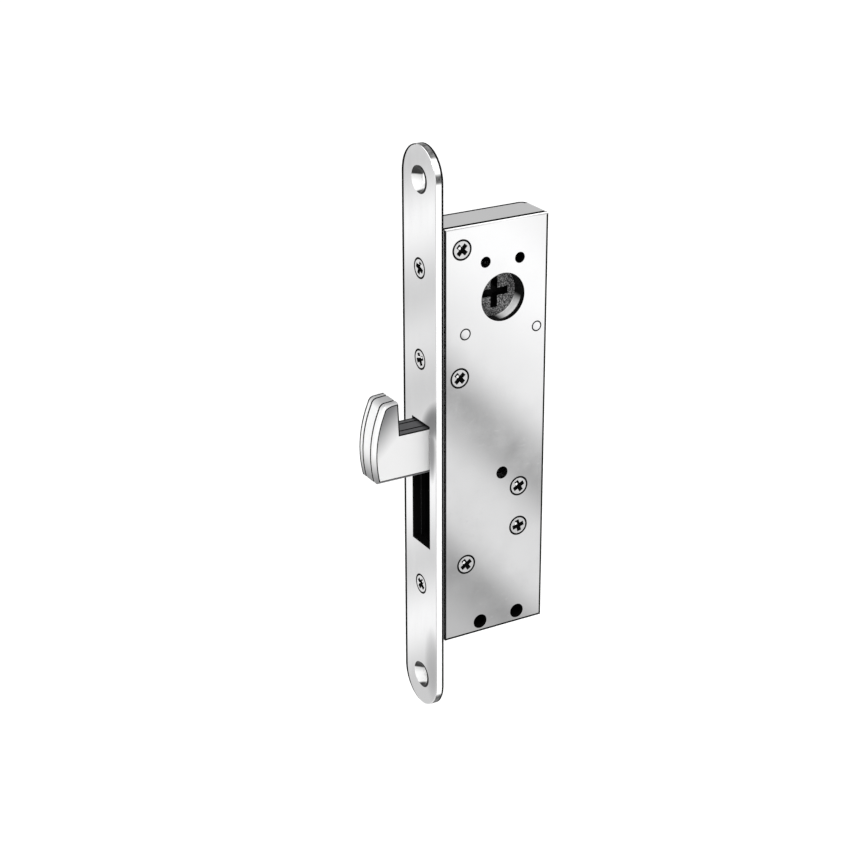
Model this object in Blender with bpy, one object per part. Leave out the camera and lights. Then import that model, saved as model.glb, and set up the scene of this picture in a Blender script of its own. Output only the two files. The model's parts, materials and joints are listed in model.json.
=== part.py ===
"""Mortise lock with a hook bolt that swings out through a round-ended faceplate.

The origin is the centre of the faceplate's outer face. +X runs into the door, +Y away from the cover
and +Z up. Sizes are in millimetres, and each mesh is made in metres.
Inside, a follower turns a crank, a link carries that turn to the hook's tail, and the two cranks have
one length, so that hook and follower always turn by the same angle.
"""

import math

import bmesh
import bpy
from mathutils import Matrix, Vector

MM = 0.001
GAP = 0.3  # clearance between pieces that touch or nest
ROUND_STEPS = 48
SMALL_STEPS = 24
SHARP_ANGLE = math.radians(30)

# Faceplate
PLATE_LENGTH = 235.0
PLATE_WIDTH = 25.4
PLATE_THICK = 3.5
FIXING_Z = 104.4  # height of the empty fixing holes above and below the middle
FIXING_R = 2.8
FIXING_SINK_R = 5.5

# Case
MID_Y = -1.0  # middle of the case's thickness
CASE_THICK = 17.5
NEAR_Y = MID_Y - CASE_THICK / 2
FAR_Y = MID_Y + CASE_THICK / 2
CASE_HALF = 86.3
CASE_BACK = 51.3
CASE_CORNER_R = 3.0
COVER_THICK = 2.0
COVER_FRONT = 5.9
SHEET = 1.5
WALL_FRONT = PLATE_THICK + GAP
WALL_INNER = COVER_FRONT - GAP
WALL_NEAR_Y = NEAR_Y + 0.75
COVER_INNER_Y = NEAR_Y + COVER_THICK
FLOOR_Y = FAR_Y - SHEET
REAR_INNER = CASE_BACK - SHEET

# Slot for the hook, in the faceplate and the case's front wall
SLOT_TOP = 7.5
SLOT_BOTTOM = -44.2
SLOT_HALF_WIDTH = 6.4

# Hook bolt: three layers on one pivot
PIVOT = (20.0, 2.0)
PIVOT_R = 3.0
CRANK_R = 14.5
HOOK_CRANK = (PIVOT[0], PIVOT[1] - CRANK_R)
NEAR_LAYER = (-7.2, -4.2)
CORE_LAYER = (-3.9, 1.9)
FAR_LAYER = (2.2, 5.2)
NECK_TOP = 7.2
HOOK_BOTTOM = -11.7
NOTCH_X = -12.6
TIP_FRONT = (-13.2, 20.0)
TIP_BACK = (-17.8, 19.7)
TIP_SHOULDER = (-19.9, 17.5)
HEAD_MIDDLE = (-23.8, 1.3)
HEAD_BOTTOM_X = -22.5
BODY_END_X = 9.0
HUB_R = 9.0
FAR_HUB_R = 7.0
EYE_R = 4.0
HOOK_RIVETS = {"upper": (8.0, 3.0), "lower": (8.0, -6.0)}
HOOK_RIVET_R = 1.6

# Follower: the cross-slotted piece that a cylinder's tail turns
FOLLOWER = (31.35, 55.8)
FOLLOWER_CRANK = (FOLLOWER[0], FOLLOWER[1] - CRANK_R)
RECESS_R = 9.65
RECESS_DEPTH = 6.7
FAR_RECESS_DEPTH = 4.7
MEMBRANE = (0.2, 0.8)  # the wall left between the two cross slots
JOURNAL_R = 10.75
JOURNAL_DEPTH = 0.5  # how far the follower's rim runs into each sheet
CROSS_LENGTH = 12.4
CROSS_WIDTH = 3.1
CAM_R = 12.8
CAM_FLAT = 11.3
CAM_LAYER = (-7.2, -4.2)
ARM_LAYER = (-3.0, 1.9)
ARM_EYE_R = 3.4

# Link and crank pins
LINK_LAYER = (2.3, 4.8)
LINK_HALF_WIDTH = 3.3
LINK_KNEE = (FOLLOWER[0], -3.8)
CRANK_PIN_R = 2.0
CRANK_HEAD_R = 3.0
PIN_END_Y = 5.9
RING_LAYER = (5.1, 5.8)
RING_R = 3.4

# Detent spring and the two flush rivets that carry it
SPRING_LAYER = (-7.0, -4.3)
LEAF_LOW = 43.55
LEAF_HIGH = 44.2
LEAF_END = 48.9
RIVET_FRONT = (14.7, 43.65)
RIVET_FRONT_R = 2.25
RIVET_REAR = (46.8, 41.2)
RIVET_REAR_R = 2.05

# Countersunk screws, all of one size
HEAD_R = 3.9
SHANK_R = 2.0
HEAD_HEIGHT = HEAD_R - SHANK_R
RECESS_LONG = 4.4
RECESS_WIDE = 0.95
CROSS_DEPTH = 1.3
SCREW_LENGTH = 13.0
PLATE_SCREW_Y = -0.6
COVER_SCREWS = (  # x, z and the angle of the cross recess
    (13.1, 77.5, 20),
    (12.3, 26.2, 40),
    (39.7, -25.3, 10),
    (39.7, -42.8, 60),
    (15.5, -54.2, 30),
)
PLATE_SCREWS = ((70.0, 15), (33.4, 35), (-62.9, 55))  # z and the angle of the cross recess

# Plain holes through both sheets: x, z, radius
CASE_HOLES = (
    (23.5, 71.0, 2.2),
    (38.7, 70.4, 2.2),
    (31.8, -17.7, 2.6),
    (22.2, -81.7, 3.05),
    (39.6, -81.5, 3.05),
)

# Threaded blocks: low x, high x, low z, high z, and the place of the spigot staked into the floor
BLOCK_FRONT = WALL_INNER + GAP
BLOCKS = {
    "screw_block_top": (BLOCK_FRONT, 18.5, 64.5, 82.5, (14.5, 69.0)),
    "screw_block_middle": (BLOCK_FRONT, 18.0, 21.5, 38.0, (13.5, 33.5)),
    "screw_block_bottom": (BLOCK_FRONT, 20.0, -68.0, -49.5, (14.0, -63.0)),
    "rear_block": (34.1, 44.9, -48.0, -20.0, (39.7, -34.0)),
}
SPIGOT_R = 2.2

FINISHES = {  # colour, roughness, metallic
    "plated_sheet": ((0.82, 0.83, 0.84), 0.25, 1.0),
    "polished_plate": ((0.86, 0.86, 0.87), 0.18, 1.0),
    "hook_steel": ((0.80, 0.80, 0.81), 0.28, 1.0),
    "screw_steel": ((0.78, 0.78, 0.79), 0.24, 1.0),
    "cast_follower": ((0.10, 0.10, 0.105), 0.62, 0.7),
    "inner_steel": ((0.55, 0.55, 0.56), 0.40, 1.0),
    "spring_steel": ((0.30, 0.31, 0.34), 0.30, 1.0),
}


def clear_scene():
    for old in list(bpy.data.objects):
        bpy.data.objects.remove(old, do_unlink=True)


def finish(name):
    """The named finish as a Principled material, made once."""
    known = bpy.data.materials.get(name)
    if known:
        return known
    colour, roughness, metallic = FINISHES[name]
    made = bpy.data.materials.new(name)
    made.use_nodes = True
    shader = made.node_tree.nodes["Principled BSDF"]
    shader.inputs["Base Color"].default_value = (*colour, 1.0)
    shader.inputs["Roughness"].default_value = roughness
    shader.inputs["Metallic"].default_value = metallic
    return made


def place(a, b, along, axis):
    """The point (a, b) of an outline, at a distance along the axis that the outline faces."""
    return Vector({"X": (along, a, b), "Y": (a, along, b), "Z": (a, b, along)}[axis]) * MM


def make_object(name, bm, slot):
    mesh = bpy.data.meshes.new(name)
    bmesh.ops.recalc_face_normals(bm, faces=bm.faces)
    bm.to_mesh(mesh)
    bm.free()
    mesh.shade_smooth()
    mesh.set_sharp_from_angle(angle=SHARP_ANGLE)
    piece = bpy.data.objects.new(name, mesh)
    bpy.context.scene.collection.objects.link(piece)
    if slot:
        mesh.materials.append(finish(slot))
    return piece


def loft(name, rings, slot):
    """A closed solid through rings that have the same number of points."""
    bm = bmesh.new()
    made = [[bm.verts.new(point) for point in ring] for ring in rings]
    bm.faces.new(made[0])
    bm.faces.new(made[-1])
    for lower, upper in zip(made, made[1:]):
        for i in range(len(lower)):
            j = (i + 1) % len(lower)
            bm.faces.new((lower[i], lower[j], upper[j], upper[i]))
    return make_object(name, bm, slot)


def prism(name, outline, span, axis="Y", slot=None):
    return loft(name, [[place(a, b, along, axis) for a, b in outline] for along in span], slot)


def turned(name, profile, centre, axis="Y", slot=None, steps=SMALL_STEPS):
    """A solid of revolution from (radius, distance along the axis) pairs."""
    rings = []
    for radius, along in profile:
        rings.append([place(a, b, along, axis) for a, b in circle(centre, radius, steps)])
    return loft(name, rings, slot)


def arc(centre, radius, start, end, steps=12):
    """Points from one angle to another, in degrees, both ends included."""
    points = []
    for i in range(steps + 1):
        angle = math.radians(start + (end - start) * i / steps)
        points.append((centre[0] + radius * math.cos(angle), centre[1] + radius * math.sin(angle)))
    return points


def circle(centre, radius, steps=ROUND_STEPS):
    return arc(centre, radius, 0, 360, steps)[:-1]


def rectangle(low_a, high_a, low_b, high_b):
    return [(low_a, low_b), (high_a, low_b), (high_a, high_b), (low_a, high_b)]


def arc_through(first, middle, last, steps=16):
    """The arc from first to last that passes through middle."""
    start, via, end = (Vector(p) for p in (first, middle, last))
    left, right = via - start, end - start
    cross = 2 * (left.x * right.y - left.y * right.x)
    offset = Vector((
        right.y * left.length_squared - left.y * right.length_squared,
        left.x * right.length_squared - right.x * left.length_squared,
    )) / cross
    centre = start + offset
    begin = math.degrees(math.atan2(start.y - centre.y, start.x - centre.x))
    finish_angle = math.degrees(math.atan2(end.y - centre.y, end.x - centre.x))
    turn = (finish_angle - begin) % 360
    if cross < 0:
        turn -= 360
    return arc(tuple(centre), offset.length, begin, begin + turn, steps)


def cross_outline(centre, length, width, turn=0.0):
    """An upright cross, turned by an angle in degrees."""
    long, short = length / 2, width / 2
    corner = [(long, -short), (long, short), (short, short)]
    points = []
    for quarter in range(4):
        angle = math.radians(90 * quarter + turn)
        for a, b in corner:
            points.append((
                centre[0] + a * math.cos(angle) - b * math.sin(angle),
                centre[1] + a * math.sin(angle) + b * math.cos(angle),
            ))
    return points


def combine(target, tool, operation):
    tool.hide_render = True
    tool.display_type = "WIRE"
    modifier = target.modifiers.new(tool.name, "BOOLEAN")
    modifier.operation = operation
    modifier.solver = "EXACT"
    modifier.object = tool


def cut(target, *tools):
    for tool in tools:
        combine(target, tool, "DIFFERENCE")


def add(target, *tools):
    for tool in tools:
        combine(target, tool, "UNION")


def hole(name, centre, radius, span, axis="Y"):
    steps = ROUND_STEPS if radius > 5 else SMALL_STEPS
    return turned(name, [(radius, span[0]), (radius, span[1])], centre, axis, steps=steps)


def sink(name, centre, face, direction, head_r, hole_r, depth, axis):
    """A countersunk through hole; direction is +1 or -1, from the face into the material."""
    cone = head_r - hole_r
    profile = [
        (head_r + 1, face - direction),
        (hole_r, face + direction * cone),
        (hole_r, face + direction * depth),
    ]
    return turned(name, profile, centre, axis)


def build_faceplate():
    end = PLATE_LENGTH / 2 - PLATE_WIDTH / 2
    outline = arc((0, end), PLATE_WIDTH / 2, 0, 180, 24)
    outline += arc((0, -end), PLATE_WIDTH / 2, 180, 360, 24)
    plate = prism("faceplate", outline, (0, PLATE_THICK), "X", "polished_plate")
    slot = rectangle(MID_Y - SLOT_HALF_WIDTH, MID_Y + SLOT_HALF_WIDTH, SLOT_BOTTOM, SLOT_TOP)
    cut(plate, prism("plate_slot", slot, (-1, PLATE_THICK + 1), "X"))
    for side, z in (("top", FIXING_Z), ("bottom", -FIXING_Z)):
        cut(plate, sink(f"fixing_{side}", (0, z), 0, 1, FIXING_SINK_R, FIXING_R, PLATE_THICK + 1, "X"))
    for number, (z, _) in enumerate(PLATE_SCREWS, 1):
        place_at = (PLATE_SCREW_Y, z)
        tool = sink(f"plate_sink_{number}", place_at, 0, 1, HEAD_R + GAP, SHANK_R + GAP, PLATE_THICK + 1, "X")
        cut(plate, tool)


def build_case_body():
    """A formed tray: the far sheet with four walls. The front wall stands a little higher."""
    corner = (CASE_BACK - CASE_CORNER_R, FAR_Y - CASE_CORNER_R)
    outline = [(WALL_FRONT, WALL_NEAR_Y), (CASE_BACK, WALL_NEAR_Y)]
    outline += arc(corner, CASE_CORNER_R, 0, 90, 8) + [(WALL_FRONT, FAR_Y)]
    body = prism("case_body", outline, (-CASE_HALF, CASE_HALF), "Z", "plated_sheet")
    over = rectangle(WALL_INNER, CASE_BACK + 1, NEAR_Y - 1, COVER_INNER_Y + GAP)
    cut(body, prism("under_cover", over, (-CASE_HALF - 1, CASE_HALF + 1), "Z"))
    room = [(WALL_INNER, NEAR_Y - 2), (REAR_INNER, NEAR_Y - 2)]
    room += arc(corner, CASE_CORNER_R - SHEET, 0, 90, 8) + [(WALL_INNER, FLOOR_Y)]
    cut(body, prism("room", room, (-CASE_HALF + SHEET, CASE_HALF - SHEET), "Z"))
    slot = rectangle(MID_Y - SLOT_HALF_WIDTH, MID_Y + SLOT_HALF_WIDTH, SLOT_BOTTOM, SLOT_TOP)
    cut(body, prism("wall_slot", slot, (WALL_FRONT - 1, WALL_INNER + 1), "X"))
    for number, (z, _) in enumerate(PLATE_SCREWS, 1):
        span = (WALL_FRONT - 1, WALL_INNER + 1)
        cut(body, hole(f"wall_hole_{number}", (PLATE_SCREW_Y, z), SHANK_R + GAP, span, "X"))
    for number, (x, z, radius) in enumerate(CASE_HOLES, 1):
        cut(body, hole(f"floor_hole_{number}", (x, z), radius, (FLOOR_Y - 1, FAR_Y + 1)))
    for name, (_, _, _, _, spigot) in BLOCKS.items():
        cut(body, hole(f"floor_{name}", spigot, SPIGOT_R + GAP, (FLOOR_Y - 1, FAR_Y + 1)))
    cut(body, hole("floor_pivot", PIVOT, PIVOT_R - 0.5, (FLOOR_Y - 1, FAR_Y + 1)))
    cut(body, hole("floor_window", FOLLOWER, RECESS_R, (FLOOR_Y - 1, FAR_Y + 1)))
    bearing = (FLOOR_Y - 1, FLOOR_Y + JOURNAL_DEPTH + GAP)
    cut(body, hole("floor_bearing", FOLLOWER, JOURNAL_R + GAP, bearing))


def build_case_cover():
    outline = rectangle(COVER_FRONT, CASE_BACK, -CASE_HALF, CASE_HALF)
    cover = prism("case_cover", outline, (NEAR_Y, COVER_INNER_Y), "Y", "plated_sheet")
    through = (NEAR_Y - 1, COVER_INNER_Y + 1)
    cut(cover, hole("cover_window", FOLLOWER, RECESS_R, through))
    bearing = (COVER_INNER_Y - JOURNAL_DEPTH - 2 * GAP, COVER_INNER_Y + 1)
    cut(cover, hole("cover_bearing", FOLLOWER, JOURNAL_R + GAP, bearing))
    for number, (x, z, _) in enumerate(COVER_SCREWS, 1):
        head, shank = HEAD_R + GAP, SHANK_R + GAP
        cut(cover, sink(f"cover_sink_{number}", (x, z), NEAR_Y, 1, head, shank, COVER_THICK + 1, "Y"))
    for number, (x, z, radius) in enumerate(CASE_HOLES, 1):
        cut(cover, hole(f"cover_hole_{number}", (x, z), radius, through))
    cut(cover, hole("rivet_hole_front", RIVET_FRONT, RIVET_FRONT_R + GAP, through))
    cut(cover, hole("rivet_hole_rear", RIVET_REAR, RIVET_REAR_R + GAP, through))


def build_screw(name, centre, face, axis, angle):
    """A countersunk screw that starts at the face and runs along +axis."""
    profile = [(HEAD_R, face), (SHANK_R, face + HEAD_HEIGHT), (SHANK_R, face + SCREW_LENGTH)]
    screw = turned(name, profile, centre, axis, "screw_steel")
    recess = cross_outline(centre, RECESS_LONG, RECESS_WIDE, angle)
    cut(screw, prism(f"{name}_recess", recess, (face - 1, face + CROSS_DEPTH), axis))


def build_screws():
    for number, (x, z, angle) in enumerate(COVER_SCREWS, 1):
        build_screw(f"cover_screw_{number}", (x, z), NEAR_Y, "Y", angle)
    for number, (z, angle) in enumerate(PLATE_SCREWS, 1):
        build_screw(f"faceplate_screw_{number}", (PLATE_SCREW_Y, z), 0, "X", angle)


def build_blocks():
    """Blocks that the screws thread into, each with a spigot staked through the far sheet."""
    near = COVER_INNER_Y + GAP
    far = FLOOR_Y - GAP
    for name, (low_x, high_x, low_z, high_z, spigot) in BLOCKS.items():
        block = prism(name, rectangle(low_x, high_x, low_z, high_z), (near, far), "Y", "inner_steel")
        add(block, hole(f"{name}_spigot", spigot, SPIGOT_R, (far - 1, FAR_Y - GAP)))
        for number, (x, z, _) in enumerate(COVER_SCREWS, 1):
            if low_x < x < high_x and low_z < z < high_z:
                deep = (near - 1, NEAR_Y + SCREW_LENGTH + GAP)
                cut(block, hole(f"{name}_y{number}", (x, z), SHANK_R + GAP, deep))
        for number, (z, _) in enumerate(PLATE_SCREWS, 1):
            if low_x == BLOCK_FRONT and low_z < z < high_z:
                deep = (low_x - 1, SCREW_LENGTH + GAP)
                cut(block, hole(f"{name}_x{number}", (PLATE_SCREW_Y, z), SHANK_R + GAP, deep, "X"))


def hook_outline(hub_r, with_tail):
    """The hook's head and neck, closed round a hub, and round the crank's eye where it has a tail."""
    neck_angle = math.degrees(math.asin((NECK_TOP - PIVOT[1]) / hub_r))
    points = [(NOTCH_X, NECK_TOP), TIP_FRONT, TIP_BACK]
    points += arc_through(TIP_SHOULDER, HEAD_MIDDLE, (HEAD_BOTTOM_X, HOOK_BOTTOM))
    points.append((BODY_END_X, HOOK_BOTTOM))
    if with_tail:
        points += arc(HOOK_CRANK, EYE_R, 180, 360)
        points += arc(PIVOT, hub_r, -15, 180 - neck_angle, 16)
    else:
        points += arc(PIVOT, hub_r, -125, 180 - neck_angle, 24)
    return points


def build_hook():
    pieces = []
    layers = (
        ("hook_plate_near", NEAR_LAYER, HUB_R, False),
        ("hook_core", CORE_LAYER, HUB_R, True),
        ("hook_plate_far", FAR_LAYER, FAR_HUB_R, False),
    )
    for name, layer, hub_r, with_tail in layers:
        piece = prism(name, hook_outline(hub_r, with_tail), layer, "Y", "hook_steel")
        through = (layer[0] - 1, layer[1] + 1)
        cut(piece, hole(f"{name}_pivot", PIVOT, PIVOT_R + GAP, through))
        for key, centre in HOOK_RIVETS.items():
            cut(piece, hole(f"{name}_{key}", centre, HOOK_RIVET_R + GAP, through))
        if with_tail:
            cut(piece, hole(f"{name}_crank", HOOK_CRANK, CRANK_PIN_R + GAP, through))
        pieces.append(piece)
    for key, centre in HOOK_RIVETS.items():
        ends = [(HOOK_RIVET_R, NEAR_LAYER[0] + GAP), (HOOK_RIVET_R, FAR_LAYER[1] - GAP)]
        pieces.append(turned(f"hook_rivet_{key}", ends, centre, "Y", "inner_steel"))
    pieces.append(crank_pin("hook_crank_pin", HOOK_CRANK, CORE_LAYER[0]))
    return pieces


def build_pivot_pin():
    profile = [
        (PIVOT_R, COVER_INNER_Y + GAP),
        (PIVOT_R, FLOOR_Y - GAP),
        (PIVOT_R - 0.8, FLOOR_Y - GAP),
        (PIVOT_R - 0.8, FAR_Y),
    ]
    turned("hook_pivot_pin", profile, PIVOT, "Y", "inner_steel")


def crank_pin(name, centre, seat):
    """A headed pin; seat is the near face of the piece that its head rests against."""
    head = seat - GAP
    profile = [(CRANK_HEAD_R, head - 0.6), (CRANK_HEAD_R, head), (CRANK_PIN_R, head), (CRANK_PIN_R, PIN_END_Y)]
    return turned(name, profile, centre, "Y", "inner_steel")


def build_follower():
    web_near = NEAR_Y + RECESS_DEPTH
    web_far = FAR_Y - FAR_RECESS_DEPTH
    rims = (COVER_INNER_Y - JOURNAL_DEPTH - GAP, FLOOR_Y + JOURNAL_DEPTH)
    ends = [(JOURNAL_R, rims[0]), (JOURNAL_R, rims[1])]
    body = turned("follower", ends, FOLLOWER, "Y", "cast_follower", ROUND_STEPS)
    half_flat = math.degrees(math.acos(CAM_FLAT / CAM_R))
    cam = arc(FOLLOWER, CAM_R, 270 + half_flat, 540 - half_flat, 32)
    cam += arc(FOLLOWER, CAM_R, 180 + half_flat, 270 - half_flat, 6)
    add(body, prism("cam", cam, CAM_LAYER))
    arm = arc(FOLLOWER_CRANK, ARM_EYE_R, 180, 360)
    arm += [(FOLLOWER[0] + 6, FOLLOWER[1] - 6), (FOLLOWER[0] - 6, FOLLOWER[1] - 6)]
    add(body, prism("arm", arm, ARM_LAYER))
    cut(body, hole("recess_near", FOLLOWER, RECESS_R, (rims[0] - 1, web_near)))
    cut(body, hole("recess_far", FOLLOWER, RECESS_R, (web_far, rims[1] + 1)))
    cross = cross_outline(FOLLOWER, CROSS_LENGTH, CROSS_WIDTH)
    cut(body, prism("cross_slot_near", cross, (web_near - 1, MEMBRANE[0])))
    cut(body, prism("cross_slot_far", cross, (MEMBRANE[1], web_far + 1)))
    through = (ARM_LAYER[0] - 1, ARM_LAYER[1] + 1)
    cut(body, hole("arm_hole", FOLLOWER_CRANK, CRANK_PIN_R + GAP, through))
    return [body, crank_pin("follower_crank_pin", FOLLOWER_CRANK, ARM_LAYER[0])]


def link_outline():
    """A dog-leg bar with a round end at each crank pin."""
    lower, knee, upper = Vector(HOOK_CRANK), Vector(LINK_KNEE), Vector(FOLLOWER_CRANK)
    lean = math.degrees(math.atan2((knee - lower).y, (knee - lower).x))
    bend = math.radians(90 - lean)
    reach = LINK_HALF_WIDTH * math.tan(bend / 2)
    outer = (knee.x + LINK_HALF_WIDTH, knee.y - reach)
    inner = (knee.x - LINK_HALF_WIDTH, knee.y + reach)
    points = arc(tuple(lower), LINK_HALF_WIDTH, lean + 90, lean + 270)
    points += [outer] + arc(tuple(upper), LINK_HALF_WIDTH, 0, 180) + [inner]
    return points


def build_link():
    link = prism("link", link_outline(), LINK_LAYER, "Y", "inner_steel")
    through = (LINK_LAYER[0] - 1, LINK_LAYER[1] + 1)
    for key, centre in (("lower", HOOK_CRANK), ("upper", FOLLOWER_CRANK)):
        cut(link, hole(f"link_eye_{key}", centre, CRANK_PIN_R + GAP, through))
    return [link]


def build_ring(name, centre):
    """An open retaining ring."""
    outline = arc(centre, RING_R, 30, 330, 20) + arc(centre, CRANK_PIN_R + GAP, 330, 30, 20)
    return prism(name, outline, RING_LAYER, "Y", "spring_steel")


def build_detent():
    """A leaf spring across two rivets; the follower's cam presses on the middle of the leaf."""
    eye_r = RIVET_FRONT_R + GAP + (LEAF_HIGH - LEAF_LOW)
    low_angle = math.degrees(math.asin((LEAF_LOW - RIVET_FRONT[1]) / eye_r))
    high_angle = math.degrees(math.asin((LEAF_HIGH - RIVET_FRONT[1]) / eye_r))
    outline = arc(RIVET_FRONT, eye_r, high_angle, 360 + low_angle, 24)
    outline += [(LEAF_END, LEAF_LOW), (LEAF_END, LEAF_HIGH)]
    spring = prism("detent_spring", outline, SPRING_LAYER, "Y", "spring_steel")
    through = (SPRING_LAYER[0] - 1, SPRING_LAYER[1] + 1)
    cut(spring, hole("spring_eye", RIVET_FRONT, RIVET_FRONT_R + GAP, through))
    ends = (("front", RIVET_FRONT, RIVET_FRONT_R), ("rear", RIVET_REAR, RIVET_REAR_R))
    for key, centre, radius in ends:
        profile = [(radius, NEAR_Y), (radius, SPRING_LAYER[1] + GAP)]
        turned(f"spring_rivet_{key}", profile, centre, "Y", "plated_sheet")


def carry(name, centre, pieces):
    """An empty on the joint's axis, as the parent of the pieces that turn about it."""
    axis = bpy.data.objects.new(name, None)
    bpy.context.scene.collection.objects.link(axis)
    axis.location = Vector((centre[0], MID_Y, centre[1])) * MM
    for piece in pieces:
        piece.parent = axis
        piece.matrix_parent_inverse = Matrix.Translation(-axis.location)
    return axis


def main():
    clear_scene()
    build_faceplate()
    build_case_body()
    build_case_cover()
    build_screws()
    build_blocks()
    build_pivot_pin()
    build_detent()
    hook = build_hook()
    hook.append(build_ring("retaining_ring_lower", HOOK_CRANK))
    follower = build_follower()
    follower.append(build_ring("retaining_ring_upper", FOLLOWER_CRANK))
    carry("hook_axis", PIVOT, hook)
    carry("follower_axis", FOLLOWER, follower)
    carry("link_axis", HOOK_CRANK, build_link())


main()
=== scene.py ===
"""Looks of a mortise lock with a hook bolt: plated sheet, ground steel, a cast follower and bright screws.

Sizes and places on the lock are in millimetres, as in the part's source, and are turned into metres when a
mesh or a material is made. The camera's and the studio's are in metres.
"""

import json
import math
from collections import namedtuple

import bmesh
import bpy
from mathutils import Matrix, Vector


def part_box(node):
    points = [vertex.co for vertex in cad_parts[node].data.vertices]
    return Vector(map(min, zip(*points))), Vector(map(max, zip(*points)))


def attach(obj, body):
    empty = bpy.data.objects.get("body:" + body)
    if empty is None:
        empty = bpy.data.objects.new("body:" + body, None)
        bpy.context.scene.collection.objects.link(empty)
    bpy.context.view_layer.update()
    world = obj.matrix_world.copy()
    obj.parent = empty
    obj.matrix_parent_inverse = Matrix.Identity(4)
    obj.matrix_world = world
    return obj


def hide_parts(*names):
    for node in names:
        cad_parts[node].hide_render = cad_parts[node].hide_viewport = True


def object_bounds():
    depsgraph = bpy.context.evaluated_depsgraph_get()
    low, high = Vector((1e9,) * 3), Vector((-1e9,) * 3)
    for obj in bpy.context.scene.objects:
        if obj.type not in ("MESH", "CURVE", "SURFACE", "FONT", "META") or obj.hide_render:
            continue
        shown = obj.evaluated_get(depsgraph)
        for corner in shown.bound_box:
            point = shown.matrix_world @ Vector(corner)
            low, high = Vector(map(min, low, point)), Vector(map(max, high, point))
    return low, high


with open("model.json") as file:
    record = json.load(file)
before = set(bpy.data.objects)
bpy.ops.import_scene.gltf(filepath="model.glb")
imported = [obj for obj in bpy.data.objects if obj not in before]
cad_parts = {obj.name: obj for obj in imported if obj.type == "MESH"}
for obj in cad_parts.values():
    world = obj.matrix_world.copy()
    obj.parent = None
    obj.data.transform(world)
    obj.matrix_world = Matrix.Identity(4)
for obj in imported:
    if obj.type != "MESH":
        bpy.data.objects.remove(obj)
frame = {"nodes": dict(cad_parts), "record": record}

CAD_BOX = [list(corner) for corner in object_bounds()]

MM = 0.001
ROUND_STEPS = 64
SMALL_STEPS = 48
SCREW_HOLE_STEPS = 32
HOLLOW_STEPS = 24
CORNER_STEPS = 12
EDGE_STEPS = 3
GAP = 0.3  # between pieces that touch
PAST = 1.0  # how far a cutting tool runs past the face that it opens
SKIN = 0.01  # what is closer to a face than this is on it
SHARP_ANGLE = 38.0  # an edge that turns more than this stays sharp

# Camera, with its angles in degrees
CAMERA_PLACE = (-0.3519, -0.6235, 0.3098)
CAMERA_AZIMUTH = -29.61
CAMERA_ELEVATION = 23.0
CAMERA_ROLL = -0.25
CAMERA_LENS = 85.0

# Faceplate
FIXING_Z = 104.4
FIXING_R = 2.5
FIXING_SINK_R = 5.15
SLOT_TOP = 7.5
SLOT_BOTTOM = -44.2
SLOT_HALF_WIDTH = 6.4
SLOT_RIM = 0.5
PLATE_FRONT_EDGE = 0.3
PLATE_REAR_EDGE = 0.3
PLATE_LIP = 0.02
PLATE_BORDER = 1.35  # the painted black line of shade on the far side of the face, at its widest
PLATE_REAR_BAND = 0.95
PLATE_FACE_DEPTH = 1.0  # the painted shade and shadows on the front face end at this depth

# Painted shade on the faceplate: the (y, z) of the middle, half sizes, and how dark they are
SHADE_PATCH_PLACE = (-9.5, 9.5)
SHADE_PATCH_SIZE = (7.0, 14.5)
SHADE_PATCH_TURN = 38.0
LOW_SHADE_PLACE = (-9.4, -2.0)
LOW_SHADE_SIZE = (3.8, 14.5)
LOW_SHADE_SHARE = 0.95
BOTTOM_SHADE_PLACE = (-9.5, -96.0)
BOTTOM_SHADE_SIZE = (7.0, 19.0)
BOTTOM_SHADE_SHARE = 0.4
SHADE_PATCH_DEPTH = 0.82
# The painted black shadow beside each fixing hole: how far its circle moves to the near side, and where it
# fades
SHADOW_CRESCENT_SHIFT = 1.1
SHADOW_CRESCENT_FADE = (0.3, 0.1)

# Painted shade on the faceplate's edge, by height, from clear to dark
UPPER_EDGE_SHADE = (113.3, 114.6)
LOWER_EDGE_SHADE = (107.7, 109.7)
EDGE_SHADE_SPOT_Z = 107.0
EDGE_SHADE_SPOT_HALF = (2.6, 0.9)

# Painted shade on the fixing holes' cones, by height above the hole's middle, from clear to dark
SINK_SHADE_ABOVE = (0.3, 1.2)
SINK_SHADE_CORNER = (-3.8, -4.7)
SINK_SHADE_LEAN = 0.45
SINK_SOFT_SHADE = (-1.6, 0.4)
SINK_SOFT_SHADE_SHARE = 0.2

# Case
SHEET = 1.5
CASE_CORNER_R = 3.0
SEAM = 0.42
COVER_EDGE = 0.3
COVER_BACK_EDGE = 0.1
TRAY_EDGE = 0.3
BEARING_DEPTH = 0.8
# Painted black lines of shade along the cover's edges, and how deep the painted highlight on its top edge
# reaches
COVER_BORDER = 0.9
COVER_FRONT_BORDER = 0.45
COVER_HIGHLIGHT_DEPTH = 0.9
TOP_BORDER = 1.6
RIVET_RING = 0.4
RIVETS = ("spring_rivet_front", "spring_rivet_rear")
CASE_HOLES = (
    (23.5, 71.0, 2.2), (38.7, 70.4, 2.2), (31.8, -17.7, 2.6), (22.2, -81.7, 3.05), (39.6, -81.5, 3.05),
)
SPIGOTS = ((14.5, 69.0), (13.5, 33.5), (14.0, -63.0), (39.7, -34.0))
SPIGOT_R = 2.2

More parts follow.
